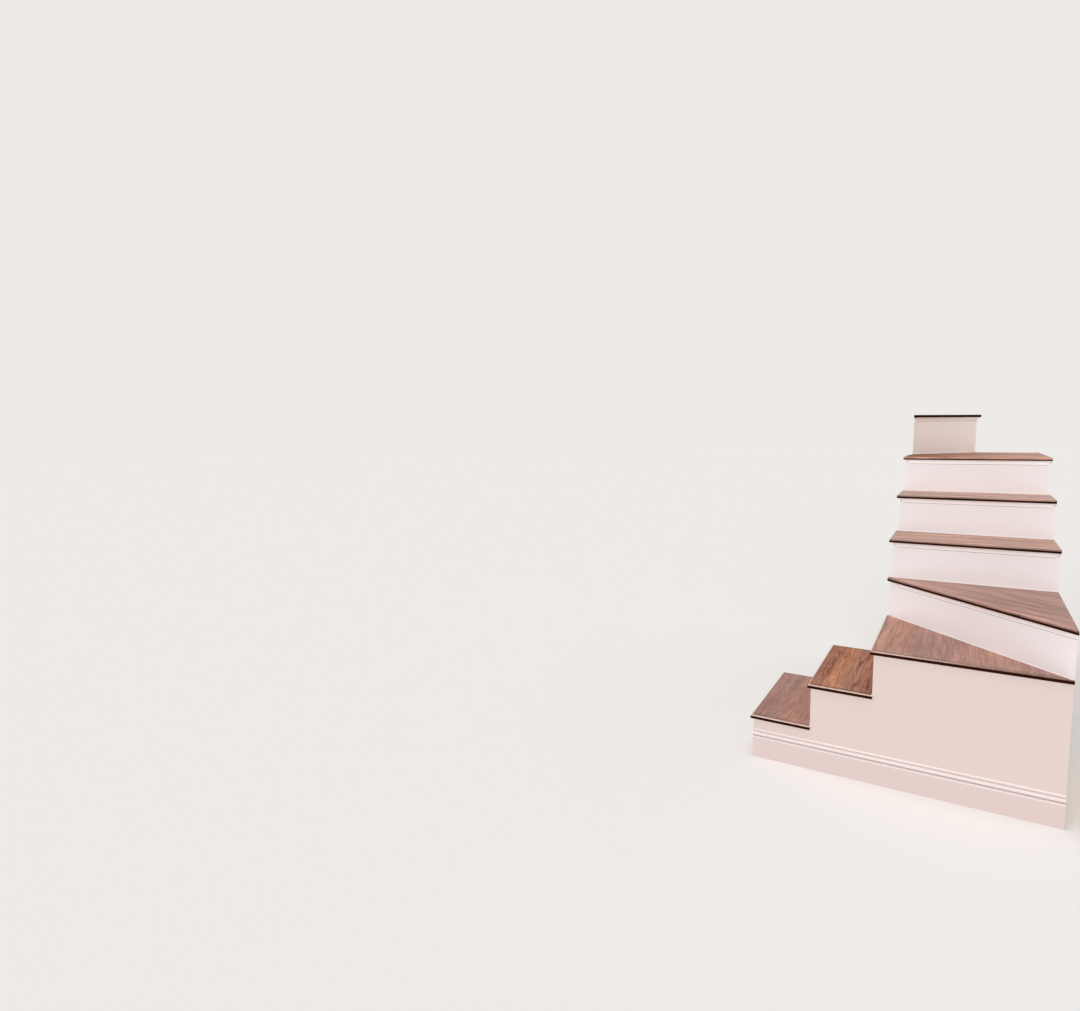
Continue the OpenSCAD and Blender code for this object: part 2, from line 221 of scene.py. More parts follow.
    # Stain: the tone changes from plank to plank, and its borders drift by up to 35 mm on the way
    drift_reach = 0.035
    off = put(tree, "MapRange", {0: drift, 1: 0.25, 2: 0.75, 3: -drift_reach, 4: drift_reach},
              out=0)
    off = put(tree, "Math", {0: off, 1: side}, out=0, operation="ADD")
    lookup = put(tree, "MapRange", {0: off, 1: first, 2: last, 3: 0.0, 4: 1.0}, out=0)
    tone = put(tree, "ValToRGB", {0: lookup}, out=0,
               stops=[(spot, linear(colour)) for spot, colour in tones])
    tone = put(tree, "VectorMath", {0: tone, 3: shade}, out=0, operation="SCALE")
    # Veins: long dark lines 3 to 6 mm wide along the grain, drawn where a slow noise crosses 0.5
    vein = put(tree, "Mapping", {"Vector": grain, "Scale": (0.9, 18, 18)}, out=0)
    vein = put(tree, "TexNoise",
               {"Vector": vein, "Scale": 1.0, "Detail": 3.0, "Roughness": 0.55}, out=0)
    vein = put(tree, "Math", {0: vein, 1: 0.5}, out=0, operation="SUBTRACT")
    vein = put(tree, "Math", {0: vein}, out=0, operation="ABSOLUTE")
    vein = put(tree, "MapRange", {0: vein, 1: 0.006, 2: 0.022, 3: 0.8 * veins, 4: 0.0}, out=0)
    vein_area = put(tree, "MapRange", {0: ring_area, 1: 0.15, 2: 1.0, 3: 0.6, 4: 1.0}, out=0)
    vein = put(tree, "Math", {0: vein, 1: vein_area}, out=0, operation="MULTIPLY")
    tone = put(tree, "Mix", {0: vein, 6: tone, 7: linear("#54280f")}, out=2, data_type="RGBA")
    # Painted light: the tone is scaled from the left end to the right, as the light fell along the
    # tread.
    if painted_light_ends:
        left_x, right_x = 0.1, 0.6
        along_x = put(tree, "CombineXYZ", {i: at.outputs["X"] for i in range(3)}, out=0)
        painted_light = put(tree, "MapRange", {"Vector": along_x, 7: (left_x,) * 3, 8: (right_x,) * 3,
                                      9: painted_light_ends[0], 10: painted_light_ends[1]},
                   out="Vector", data_type="FLOAT_VECTOR")
        tone = put(tree, "VectorMath", {0: tone, 1: painted_light}, out=0, operation="MULTIPLY")
    if nosing:
        # Painted shade and highlight: the rounded nosing is toned deeper where the top's sheen
        # ends, and the strip behind it is painted paler as a highlight
        to_back, front, width, nosing_tone, (gain, highlight_to, highlight_gone) = nosing
        soft = 0.006
        behind = put(tree, "VectorMath", {0: place, 1: to_back}, out="Value",
                     operation="DOT_PRODUCT")
        behind = put(tree, "Math", {0: behind, 1: front}, out=0, operation="SUBTRACT")
        highlight_strip = put(tree, "MapRange", {0: behind, 1: highlight_to, 2: highlight_gone, 3: gain, 4: 1.0}, out=0)
        tone = put(tree, "VectorMath", {0: tone, 3: highlight_strip}, out=0, operation="SCALE")
        rounded = put(tree, "MapRange", {0: behind, 1: width, 2: width + soft, 3: 1.0, 4: 0.0},
                      out=0)
        rounded_tone = put(tree, "VectorMath", {0: linear(nosing_tone)[:3], 3: shade}, out=0,
                           operation="SCALE")
        tone = put(tree, "Mix", {0: rounded, 6: tone, 7: rounded_tone}, out=2, data_type="RGBA")
    # The joint between two planks: a bevel of 1 mm, drawn 2 mm wide so that it shows
    joint_wide = 0.002
    joint = put(tree, "Math", {0: plank}, out=0, operation="FRACT")
    joint = put(tree, "Math", {0: joint, 1: joint_wide / stave}, out=0, operation="LESS_THAN")
    joint_shade = put(tree, "Math", {0: joint, 1: 0.5}, out=0, operation="MULTIPLY")
    tone = put(tree, "Mix", {0: joint_shade, 6: tone, 7: linear("#3a2018")}, out=2,
               data_type="RGBA")

    # Scuffs in the lacquer: pale flecks in patches and along a worn arris, drawn 6 mm wide and
    # 18 mm long so that they show
    scuff = put(tree, "Mapping", {"Vector": moved, "Scale": (55, 160, 160)}, out=0)
    scuff = put(tree, "TexNoise", {"Vector": scuff, "Scale": 1.0, "Detail": 2.0}, out=0)
    scuff = put(tree, "MapRange", {0: scuff, 1: 0.57, 2: 0.68, 3: 0.0, 4: 0.6 if worn else 0.2},
                out=0)
    scuff_area = put(tree, "TexNoise",
                     {"Vector": moved, "Scale": 7.0, "Detail": 4.0, "Roughness": 0.6}, out=0)
    scuff_area = put(tree, "MapRange", {0: scuff_area, 1: 0.5, 2: 0.64, 3: 0.1, 4: 1.0}, out=0)
    if worn:
        # How near the tread's open edges a point lies. The one in front wears three times as wide
        # as the left and the back one.
        low, high, highlight_and_wear = worn
        edge_gap = 1.0
        for axis, border, share in (("Y", low.y, 0.34), ("X", low.x, 1), ("Y", high.y, -1)):
            gap = put(tree, "Math", {0: at.outputs[axis], 1: border}, out=0, operation="SUBTRACT")
            gap = put(tree, "Math", {0: gap, 1: share}, out=0, operation="MULTIPLY")
            edge_gap = put(tree, "Math", {0: gap, 1: edge_gap}, out=0, operation="MINIMUM")
        near = put(tree, "MapRange", {0: edge_gap, 1: 0.012, 2: 0.045, 3: 0.9, 4: 0.0}, out=0)
        scuff_area = put(tree, "Math", {0: near, 1: scuff_area}, out=0, operation="MAXIMUM")
    scuff = put(tree, "Math", {0: scuff, 1: scuff_area}, out=0, operation="MULTIPLY")
    tone = put(tree, "Mix", {0: scuff, 6: tone, 7: linear("#dcbcae")}, out=2, data_type="RGBA")
    if worn:
        # Fine scratches both ways across the grain, drawn 4 mm wide and 70 mm long, so they show
        for lean in (25, -60):
            scratch = put(tree, "Mapping",
                          {"Vector": place, "Rotation": (0, 0, math.radians(lean))}, out=0)
            scratch = put(tree, "Mapping", {"Vector": scratch, "Scale": (14, 260, 260)}, out=0)
            scratch = put(tree, "TexNoise", {"Vector": scratch, "Scale": 1.0, "Detail": 1.0}, out=0)
            scratch = put(tree, "MapRange", {0: scratch, 1: 0.6, 2: 0.72, 3: 0.0, 4: 0.35}, out=0)
            scratch = put(tree, "Math", {0: scratch, 1: scuff_area}, out=0, operation="MULTIPLY")
            tone = put(tree, "Mix", {0: scratch, 6: tone, 7: linear("#dcc0b4")}, out=2,
                       data_type="RGBA")
        # A pale line, 15 mm wide in front and 5 mm at the left and the back: partly wood rubbed
        # through pale, partly a painted highlight on the arris. A darker band lies behind it, and
        # the line fades to the right.
        band = put(tree, "MapRange", {0: edge_gap, 1: 0.008, 2: 0.016, 3: 0.45, 4: 0.0}, out=0)
        tone = put(tree, "Mix", {0: band, 6: tone, 7: linear("#5e3a2d")}, out=2, data_type="RGBA")
        rub = put(tree, "TexNoise", {"Vector": place, "Scale": 45.0, "Detail": 3.0}, out=0)
        rub = put(tree, "MapRange", {0: rub, 1: 0.25, 2: 0.6, 3: 0.6, 4: 1.0}, out=0)
        line = put(tree, "MapRange", {0: edge_gap, 1: 0.004, 2: 0.006, 3: 1.0, 4: 0.0}, out=0)
        line = put(tree, "Math", {0: line, 1: rub}, out=0, operation="MULTIPLY")
        fades_right = put(tree, "MapRange", {0: at.outputs["X"], 1: 0.1, 2: 0.45, 3: 1.0, 4: 0.0},
                      out=0)
        line = put(tree, "Math", {0: line, 1: fades_right}, out=0, operation="MULTIPLY")
        tone = put(tree, "Mix", {0: line, 6: tone, 7: linear(highlight_and_wear)}, out=2, data_type="RGBA")

    # Satin lacquer: it has sunk a little between the fibres and into the joints
    dull = put(tree, "MapRange", {0: fibre, 1: 0.3, 2: 0.7, 3: 0.48, 4: 0.38}, out=0)
    height = put(tree, "Math", {0: late, 1: -0.4, 2: fibre}, out=0, operation="MULTIPLY_ADD")
    height = put(tree, "Math", {0: joint, 1: -2.5, 2: height}, out=0, operation="MULTIPLY_ADD")
    relief = put(tree, "Bump", {"Height": height, "Strength": 0.5, "Distance": 0.0003}, out=0)
    face = put(tree, "BsdfPrincipled",
               {"Base Color": tone, "Roughness": dull, "Normal": relief, "IOR": 1.5,
                "Specular IOR Level": gloss}, out=0)
    # The sawn edge drank the stain and the lacquer, so it has no gloss. Its tone, nearly black, is
    # partly that stain and partly painted shade
    sawn = put(tree, "VectorMath", {0: linear("#2e140b")[:3], 3: shade}, out=0, operation="SCALE")
    sawn = put(tree, "BsdfPrincipled",
               {"Base Color": sawn, "Roughness": 0.8, "IOR": 1.5, "Specular IOR Level": 0.0}, out=0)
    border = 0.0006
    depth = put(tree, "Math", {0: top, 1: at.outputs["Z"]}, out=0, operation="SUBTRACT")
    is_edge = put(tree, "MapRange",
                  {0: depth, 1: dark_from - border, 2: dark_from + border, 3: 0.0, 4: 1.0}, out=0)
    both = put(tree, "MixShader", {0: is_edge, 1: face, 2: sawn}, out=0)
    put(tree, "OutputMaterial", {"Surface": both})
    return made


# tones: (how far from left to right, colour) of the planks of each tread, which differ
for name, gloss, veins, highlight_and_wear, tones in (
        ("tread_1", 0.3, 0.35, "#f0d3c3",
         ((0.14, "#9c6d5e"), (0.36, "#9b6d61"), (0.58, "#a7725c"), (0.81, "#aa7664"))),
        ("tread_2", 0.0, 0.7, "#f0d3c3",
         ((0.14, "#ab7660"), (0.36, "#c68869"), (0.58, "#ad806c"), (0.81, "#a67460"))),
        ("tread_3", 0.3, 0.35, "#edcabb",
         ((0, "#926d62"), (0.06, "#b78069"), (0.2, "#a97664"), (0.27, "#9b7166"), (0.5, "#aa7c6c"),
          (0.6, "#b38470"), (0.8, "#a27769")))):
    low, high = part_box(name)
    # The grain runs along Y, so the line across it runs along -X and starts at the right
    across = (-high.x, -low.x, [(1 - spot, tone) for spot, tone in reversed(tones)])
    node[name].material_slots[0].material = stained_wood(
        "lacquered_plank_" + name, turn=90, stave=0.108, across=across, top=high.z,
        dark_from=0.001, gloss=gloss, veins=veins, streaks=0.5, streak_wide=0.022,
        seed=int(name[-1]), worn=(low, high, highlight_and_wear))


# Upper treads, landing and box step top: edge-glued boards of the same wood, with the grain along
# their length. Each nosing was rounded by hand. Its top is toned a deeper brown on the second
# winder and the two treads after it, as painted shade, and its lower part is nearly black on all,
# partly its stain and partly painted shade.
for name, tone_a, tone_b, to_back, width, nosing_tone, highlight_strip, finish in (
        ("tread_4", "#a77a6b", "#9e7163", (0.703, 0.711, 0), 0.007, "#7c5a4d", (1.5, 0.034, 0.055),
         dict(turn=-36, dark_from=0.005, gloss=0.5, streaks=1.5, streak_wide=0.045,
              painted_light_ends=((1.06, 1.12, 1.15), (0.98, 0.98, 0.98)))),
        ("tread_5", "#bd907c", "#b28674", (0, 1, 0), 0.018, "#926c5e", (1.12, 0.045, 0.1),
         dict(turn=0, dark_from=0.005, gloss=0.5, streaks=1.3, streak_wide=0.055,
              painted_light_ends=((0.97, 0.97, 0.97), (1.02, 1.01, 1.0)))),
        ("tread_6", "#be9383", "#b78b7b", (0, 1, 0), 0.018, "#936e60", (1.12, 0.045, 0.1),
         dict(turn=0.7, dark_from=0.0055, gloss=0.5, streaks=1.7, streak_wide=0.055)),
        ("tread_7", "#af8777", "#b58f7f", (0, 1, 0), 0.002, "#bd907c", (1.12, 0.045, 0.1),
         dict(turn=-0.5, dark_from=0.0092, gloss=0.0, streaks=1.6, streak_wide=0.075,
              painted_light_ends=((0.72, 0.63, 0.53), (1.29, 1.37, 1.46)))),
        ("tread_8", "#9c7160", "#a57a67", (-0.778, 0.628, 0), 0.002, "#9c7160", (1.12, 0.045, 0.1),
         dict(turn=51.1, dark_from=0.001, gloss=0.5, streaks=1.2, streak_wide=0.04))):
    low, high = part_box(name)
    front = min(Vector(to_back).dot(corner.co) for corner in node[name].data.vertices)
    spare = 0.6
    across = (low.y - spare, high.y + spare, [(0.0, tone_a), (0.5, tone_b), (1.0, tone_a)])
    node[name].material_slots[0].material = stained_wood(
        "lacquered_board_" + name, stave=0.17, across=across, top=high.z, veins=0.4,
        seed=10 + int(name[-1]), nosing=(to_back, front, width, nosing_tone, highlight_strip), **finish)


# Risers and panels: 19 mm birch plywood, glued and pinned, and where it shows filled, sanded and
# rolled with white semi-gloss. The roller left a fine stipple, and the hidden faces stayed bare.
def painted_plywood(name, tone, bare, grain, joints, sawn):
    """bare: the direction that the unpainted face looks in. grain: the axis of the veneer's grain.
    joints: (direction across the line, its place along that, strength, low x,
    high x, where the face looks) of each line in the paint. Most are joints; those along the coves'
    feet and returns are painted shadow lines.
    sawn: (where the bare sawn edge looks, axis through the board's thickness), or nothing."""
    made, tree = new_material(name)
    place = put(tree, "TexCoord", out="Object")
    at = put(tree, "SeparateXYZ", {0: place})
    normal = put(tree, "NewGeometry", out="Normal")
    # Paint: a very slow change of tone, and the stipple of a short-haired roller, 3 mm wide
    cloud = put(tree, "TexNoise", {"Vector": place, "Scale": 2.0, "Detail": 1.0}, out=0)
    darker = [0.97 * c for c in linear(tone)[:3]] + [1]
    paint = put(tree, "Mix", {0: cloud, 6: darker, 7: linear(tone)}, out=2, data_type="RGBA")
    height = put(tree, "TexNoise", {"Vector": place, "Scale": 330.0, "Detail": 2.0}, out=0)
    # A joint is open by 0.5 mm, and is drawn 2 mm wide so that it shows. The painted shadow lines
    # under the coves are drawn just as wide.
    line_half = 0.0011
    for across, spot, strength, low_x, high_x, face_looks in joints:
        gap = put(tree, "VectorMath", {0: place, 1: across}, out="Value", operation="DOT_PRODUCT")
        gap = put(tree, "Math", {0: gap, 1: spot, 2: line_half}, out=0, operation="COMPARE")
        run = put(tree, "Math", {0: at.outputs["X"], 1: (low_x + high_x) / 2,
                                 2: (high_x - low_x) / 2}, out=0, operation="COMPARE")
        shown = put(tree, "VectorMath", {0: normal, 1: face_looks}, out="Value",
                    operation="DOT_PRODUCT")
        shown = put(tree, "Math", {0: shown, 1: 0.5}, out=0, operation="GREATER_THAN")
        run = put(tree, "Math", {0: run, 1: shown}, out=0, operation="MULTIPLY")
        line = put(tree, "Math", {0: gap, 1: run}, out=0, operation="MULTIPLY")
        line_shade = put(tree, "Math", {0: line, 1: strength}, out=0, operation="MULTIPLY")
        paint = put(tree, "Mix", {0: line_shade, 6: paint, 7: linear("#84726d")}, out=2,
                    data_type="RGBA")
        height = put(tree, "Math", {0: line, 1: -2.0, 2: height}, out=0, operation="MULTIPLY_ADD")
    relief = put(tree, "Bump", {"Height": height, "Strength": 0.3, "Distance": 0.00012}, out=0)
    painted = put(tree, "BsdfPrincipled",
                  {"Base Color": paint, "Roughness": 0.4, "Normal": relief, "IOR": 1.5}, out=0)
    # Veneer: rotary-cut birch, with figure about 20 mm across and 500 mm along the grain
    spread = {"X": (2, 50, 50), "Y": (50, 2, 50), "Z": (50, 50, 2)}[grain]
    figure = put(tree, "Mapping", {"Vector": place, "Scale": spread}, out=0)
    figure = put(tree, "TexNoise", {"Vector": figure, "Scale": 1.0, "Detail": 5.0,
                                    "Roughness": 0.55, "Distortion": 1.2}, out=0)
    veneer = put(tree, "ValToRGB", {0: figure}, out=0,
                 stops=((0.3, linear("#cdb083")), (0.5, linear("#dcc298")),
                        (0.7, linear("#e6d0a9"))))
    looks = put(tree, "VectorMath", {0: normal, 1: bare}, out="Value", operation="DOT_PRODUCT")
    is_raw = put(tree, "Math", {0: looks, 1: 0.9}, out=0, operation="GREATER_THAN")
    if sawn:
        # Sawn edge: nine plies of 2.1 mm, pale side grain and darker end grain by turns
        edge_direction, through = sawn
        two_plies = 0.0042
        glue, side_grain, end_grain = linear("#8a6a44"), linear("#dcc49b"), linear("#b8935f")
        ply = put(tree, "Math", {0: at.outputs[through], 1: two_plies}, out=0, operation="DIVIDE")
        ply = put(tree, "Math", {0: ply}, out=0, operation="FRACT")
        ply = put(tree, "ValToRGB", {0: ply}, out=0,
                  stops=((0.0, glue), (0.08, side_grain), (0.46, side_grain), (0.5, glue),
                         (0.58, end_grain), (0.96, end_grain)))
        edge_looks = put(tree, "VectorMath", {0: normal, 1: edge_direction}, out="Value",
                         operation="DOT_PRODUCT")
        is_edge = put(tree, "Math", {0: edge_looks, 1: 0.9}, out=0, operation="GREATER_THAN")
        veneer = put(tree, "Mix", {0: is_edge, 6: veneer, 7: ply}, out=2, data_type="RGBA")
        is_raw = put(tree, "Math", {0: is_raw, 1: is_edge}, out=0, operation="MAXIMUM")
    grainy = put(tree, "Bump", {"Height": figure, "Strength": 0.3, "Distance": 0.0004}, out=0)
    raw = put(tree, "BsdfPrincipled",
              {"Base Color": veneer, "Roughness": 0.75, "Normal": grainy, "IOR": 1.45}, out=0)
    both = put(tree, "MixShader", {0: is_raw, 1: painted, 2: raw}, out=0)
    put(tree, "OutputMaterial", {"Surface": both})
    return made


to_right, to_left = (1, 0, 0), (-1, 0, 0)
to_back, to_front = (0, 1, 0), (0, -1, 0)
# A riser's two ends butt against the 19 mm sides, and the box step's front has a joint near its
# right end
riser_ends = ((to_right, 0.0195, 0.04, -1, 1, to_front), (to_right, 0.6855, 0.04, -1, 1, to_front))
lower_ends = ((to_back, -0.6705, 0.05, -1, 1, to_left), (to_back, -0.0195, 0.05, -1, 1, to_left))
box_end = (to_right, 0.33, 0.15, -1, 1, to_front)
# Painted shadow: a dark line on the board along each cove's foot and up the 45 degree mitres of its
# returns, where the cove casts its shade. run: the way that the riser goes. start: its left end.
# foot: how far along from there the cove's foot begins.
slant = 0.7071
cove_foot_shadow, left_return_shadow, right_return_shadow = {}, {}, {}
for i, run, start, foot in (
        (4, (0.7145, -0.6997), (0, 0), 0.054),
        (5, (1, 0), (0, 0), 0.012),
        (6, (1, 0), (0, 0), 0.012),
        (7, (1, 0), (0, 0), 0.012),
        (8, (0.6284, 0.7779), (0, 1.194), 0.028)):
    low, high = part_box("cove_%d" % i)
    foot_x = start[0] + foot * run[0]
    cove_foot_shadow[i] = ((0, 0, 1), low.z - 0.001, 1.0, foot_x, high.x, to_front)
    mitre = start[0] * run[0] + start[1] * run[1] + foot + low.z + 0.004
    left_return_shadow[i] = ((slant * run[0], slant * run[1], slant), slant * mitre, 1.0,
                      foot_x - 0.014 * run[0], foot_x + 0.005 * run[0], to_front)
for i in (5, 6, 7):
    low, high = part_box("cove_%d" % i)
    right_return_shadow[i] = ((slant, 0, -slant), slant * (high.x - 0.018 - low.z), 1.0,
                       high.x - 0.019, high.x, to_front)

# One white paint covers all the boards. Their tones differ as painted light and shade: the lower
# panels are toned darker, and riser 4 and the box step paler, as the light fell on each.
upper_white = "#f1eaea"
lower_white = "#e0ccc7"
box_white = "#fef1eb"
right_edge, back_edge = (to_right, "Y"), (to_back, "X")
for name, tone, bare, grain, joints, sawn in (
        ("riser_1", lower_white, to_right, "Y", lower_ends, None),
        ("riser_2", lower_white, to_right, "Y", lower_ends, None),
        ("riser_3", lower_white, to_right, "Y", lower_ends, None),
        ("riser_4", "#fcf4f4", (0.70, 0.71, 0), "X", (cove_foot_shadow[4], left_return_shadow[4]), right_edge),
        ("riser_5", upper_white, to_back, "X", riser_ends + (cove_foot_shadow[5],), None),
        ("riser_6", upper_white, to_back, "X", riser_ends + (cove_foot_shadow[6],), None),
        ("riser_7", upper_white, to_back, "X", riser_ends + (cove_foot_shadow[7],), None),
        ("riser_8", box_white, (-0.78, 0.63, 0), "X", (box_end, cove_foot_shadow[8], left_return_shadow[8]),
         back_edge),
        ("front_panel", lower_white, to_back, "X", (), right_edge),
        ("lower_back_panel", lower_white, to_front, "X", (), right_edge),
        ("niche_end_panel", lower_white, to_front, "X", (), right_edge),
        ("niche_back_panel", lower_white, to_back, "X", (), right_edge),
        ("winder_wall_panel", lower_white, to_right, "Y", (), None),
        ("left_stringer", upper_white, to_right, "Y", tuple(left_return_shadow[i] for i in (5, 6, 7)),
         back_edge),
        ("wall_stringer", upper_white, to_right, "Y", tuple(right_return_shadow.values()), back_edge),
        ("landing_side_panel", upper_white, to_right, "Z", (), back_edge),
        ("box_step_side", box_white, to_right, "Y", (), back_edge),
        ("box_step_back", box_white, to_back, "X", (), None)):
    node[name].material_slots[0].material = painted_plywood(
        "painted_plywood_" + name, tone, bare, grain, joints, sawn)


# Coves and baseboards: moulded softwood, nailed up, filled and brushed with the same white. The
# brush left fine lines along the run, and the extra coat shines a little more than the boards do.
def painted_moulding(name, tone, along, quirk_z):
    """along: the direction of the run from X, in degrees, which the brush followed.
    quirk_z: the height of the middle of a groove round the foot of the moulded band, or nothing."""
    made, tree = new_material(name)
    place = put(tree, "TexCoord", out="Object")
    cloud = put(tree, "TexNoise", {"Vector": place, "Scale": 2.0, "Detail": 1.0}, out=0)
    darker = [0.97 * c for c in linear(tone)[:3]] + [1]
    paint = put(tree, "Mix", {0: cloud, 6: darker, 7: linear(tone)}, out=2, data_type="RGBA")
    if quirk_z:
        # Painted light and shade, from below: a painted highlight on the arris, painted shade in
        # the groove, a painted highlight on the shoulder, lighter painted shade in the hollow, and
        # a painted highlight on the top
        height = put(tree, "SeparateXYZ", {0: place}, out="Z")
        for above, half, share, colour in (
                (-0.005, 0.0028, 0.6, "#fff8f6"),
                (0.0035, 0.003, 0.7, "#95827e"),
                (0.013, 0.004, 0.45, "#fff6f3"),
                (0.0225, 0.003, 0.22, "#a8958f"),
                (0.0315, 0.003, 0.6, "#fff6f3")):
            strip = put(tree, "Math", {0: height, 1: quirk_z + above, 2: half}, out=0,
                        operation="COMPARE")
            strip = put(tree, "Math", {0: strip, 1: share}, out=0, operation="MULTIPLY")
            paint = put(tree, "Mix", {0: strip, 6: paint, 7: linear(colour)}, out=2,
                        data_type="RGBA")
    # Brush lines 1.5 mm apart, coarser than the real ones so that they show
    brush = put(tree, "Mapping", {"Vector": place, "Rotation": (0, 0, math.radians(-along))}, out=0)
    brush = put(tree, "Mapping", {"Vector": brush, "Scale": (12, 650, 650)}, out=0)
    brush = put(tree, "TexNoise", {"Vector": brush, "Scale": 1.0, "Detail": 2.0}, out=0)
    relief = put(tree, "Bump", {"Height": brush, "Strength": 0.3, "Distance": 0.00012}, out=0)
    shader = put(tree, "BsdfPrincipled",
                 {"Base Color": paint, "Roughness": 0.33, "Normal": relief, "IOR": 1.5}, out=0)
    put(tree, "OutputMaterial", {"Surface": shader})
    return made


# The same white as the boards, toned apart as painted light and shade: the coves paler where the
# light catches them, and the baseboards darker.
for name, tone, along, quirk_z in (
        ("cove_4", "#fbf1f0", -44.4, None),
        ("cove_5", "#f4ebe9", 0, None),
        ("cove_6", "#f6efed", 0, None),
        ("cove_7", "#fcf7f6", 0, None),
        ("cove_8", "#f8eee9", 51.1, None),
        ("baseboard_front", "#dcc8c5", 0, 0.105),
        ("baseboard_back", "#dcc8c5", 0, 0.105)):
    node[name].material_slots[0].material = painted_moulding(
        "painted_moulding_" + name, tone, along, quirk_z)


# Cleats, joists and ledger: planed spruce, never finished, so the rings stay sharp and the wood
# has only the dull shine of a planed face. They are screwed to the boards beside them.
spruce, tree = new_material("planed_spruce")
place = put(tree, "TexCoord", out="Object")
# Year rings 6 mm apart. A wave texture of scale 1 repeats every 0.314 m.
spruce_ring_gap = 0.006
rings = put(tree, "Mapping", {"Vector": place, "Scale": (0.12, 1, 1)}, out=0)
rings = put(tree, "TexWave", {"Vector": rings, "Scale": 0.314 / spruce_ring_gap, "Distortion": 5.0,
                              "Detail": 2.0, "Detail Scale": 1.0},
            out=1, bands_direction="Z", wave_profile="SAW")
ring_tone = put(tree, "ValToRGB", {0: rings}, out=0,
                stops=((0.0, linear("#e2c691")), (0.75, linear("#d4b077")),
                       (1.0, linear("#ab8049"))))
grainy = put(tree, "Bump", {"Height": rings, "Strength": 0.3, "Distance": 0.0003}, out=0)
spruce_shader = put(tree, "BsdfPrincipled", {"Base Color": ring_tone, "Roughness": 0.62,
                                             "Normal": grainy, "IOR": 1.45}, out=0)
put(tree, "OutputMaterial", {"Surface": spruce_shader})
for name in ("tread_cleat_5", "tread_cleat_6", "landing_joist_1", "landing_joist_2",
             "landing_ledger"):
    node[name].material_slots[0].material = spruce


# Caulk: a bead of acrylic filler, drawn along each inner corner of the painted work and smoothed
# hollow with a wet finger, so its width wanders a little. It dried to a soft sheen.
caulk, tree = new_material("acrylic_caulk")
place = put(tree, "TexCoord", out="Object")
# The finger's smears, 6 mm across
smear = put(tree, "TexNoise", {"Vector": place, "Scale": 160.0, "Detail": 2.0}, out=0)
smear_tone = put(tree, "Mix", {0: smear, 6: linear("#efe0dc"), 7: linear("#f5eae7")}, out=2,
                 data_type="RGBA")
relief = put(tree, "Bump", {"Height": smear, "Strength": 0.3, "Distance": 0.0002}, out=0)
caulk_shader = put(tree, "BsdfPrincipled", {"Base Color": smear_tone, "Roughness": 0.5,
                                            "Normal": relief, "IOR": 1.48}, out=0)
put(tree, "OutputMaterial", {"Surface": caulk_shader})
hand = random.Random(7)


def caulk_bead(name, start, end, side_a, side_b, leg):
    """A hollow bead from start to end. side_a and side_b point from the corner over the two faces,
    and leg is how far the bead reaches over each."""
    start, end, side_a, side_b = Vector(start), Vector(end), Vector(side_a), Vector(side_b)
    step, sunk = 0.02, -0.0003
    steps = max(4, round((end - start).length / step))
    bead = bmesh.new()
    rows = []
    for i in range(steps + 1):
        reach = leg * hand.uniform(0.95, 1.05)
        turns = [math.radians(t) for t in (0, 22.5, 45, 67.5, 90)]
        hollow = [(reach - reach * math.cos(t), reach - reach * math.sin(t)) for t in turns]
        section = [(sunk, sunk), (sunk, hollow[0][1])] + hollow + [(hollow[-1][0], sunk)]
        at = start.lerp(end, i / steps)
        rows.append([bead.verts.new(at + side_a * a + side_b * b) for a, b in section])
    for near, far in zip(rows, rows[1:]):
        for j in range(len(near)):
            k = (j + 1) % len(near)
            bead.faces.new((near[j], near[k], far[k], far[j]))
    bead.faces.new(rows[0][::-1])
    bead.faces.new(rows[-1])
    bmesh.ops.recalc_face_normals(bead, faces=bead.faces)
    mesh = bpy.data.meshes.new(name)
    bead.to_mesh(mesh)
    bead.free()
    for face in mesh.polygons:
        face.use_smooth = len(face.vertices) == 4
    mesh.materials.append(caulk)
    piece = bpy.data.objects.new(name, mesh)
    bpy.context.scene.collection.objects.link(piece)
    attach(piece, "root")


up, down = (0, 0, 1), (0, 0, -1)
panel_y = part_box("front_panel")[0].y
side_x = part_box("front_panel")[1].x
foot_leg, under_leg, base_leg = 0.004, 0.0025, 0.002
for i in (1, 2, 3):
    face_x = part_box("riser_%d" % i)[0].x
    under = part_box("tread_%d" % i)[0].z
    far_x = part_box("riser_%d" % (i + 1))[0].x if i < 3 else side_x
    caulk_bead("caulk_under_tread_%d_front" % i, (face_x, panel_y, under), (far_x, panel_y, under),
               to_front, down, under_leg)
    caulk_bead("caulk_under_tread_%d_side" % i, (face_x, panel_y, under), (face_x, 0, under),
               to_left, down, under_leg)
for i in (2, 3):
    face_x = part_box("riser_%d" % i)[0].x
    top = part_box("tread_%d" % (i - 1))[1].z
    caulk_bead("caulk_riser_%d" % i, (face_x, panel_y, top), (face_x, 0, top), to_left, up,
               foot_leg)
# The beads before the two diagonal risers stop a few millimetres short of their corners
along_turn = Vector((side_x, panel_y, 0)).normalized()
before_turn = Vector((along_turn.y, -along_turn.x, 0))
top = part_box("tread_3")[1].z
caulk_bead("caulk_riser_4", Vector((0, 0, top)) + 0.003 * along_turn,
           Vector((side_x, panel_y, top)) - 0.006 * along_turn, before_turn, up, foot_leg)
for i in (5, 6, 7):
    face_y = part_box("riser_%d" % i)[0].y
    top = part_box("tread_%d" % (i - 1))[1].z
    caulk_bead("caulk_riser_%d" % i, (0, face_y, top), (side_x, face_y, top), to_front, up,
               foot_leg)
low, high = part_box("riser_8")
along_box = Vector((high.x - low.x, high.y - low.y, 0)).normalized()
before_box = Vector((along_box.y, -along_box.x, 0))
caulk_bead("caulk_riser_8", Vector((low.x, low.y, low.z)) + 0.006 * along_box,
           Vector((high.x, high.y, low.z)) - 0.006 * along_box, before_box, up, foot_leg)
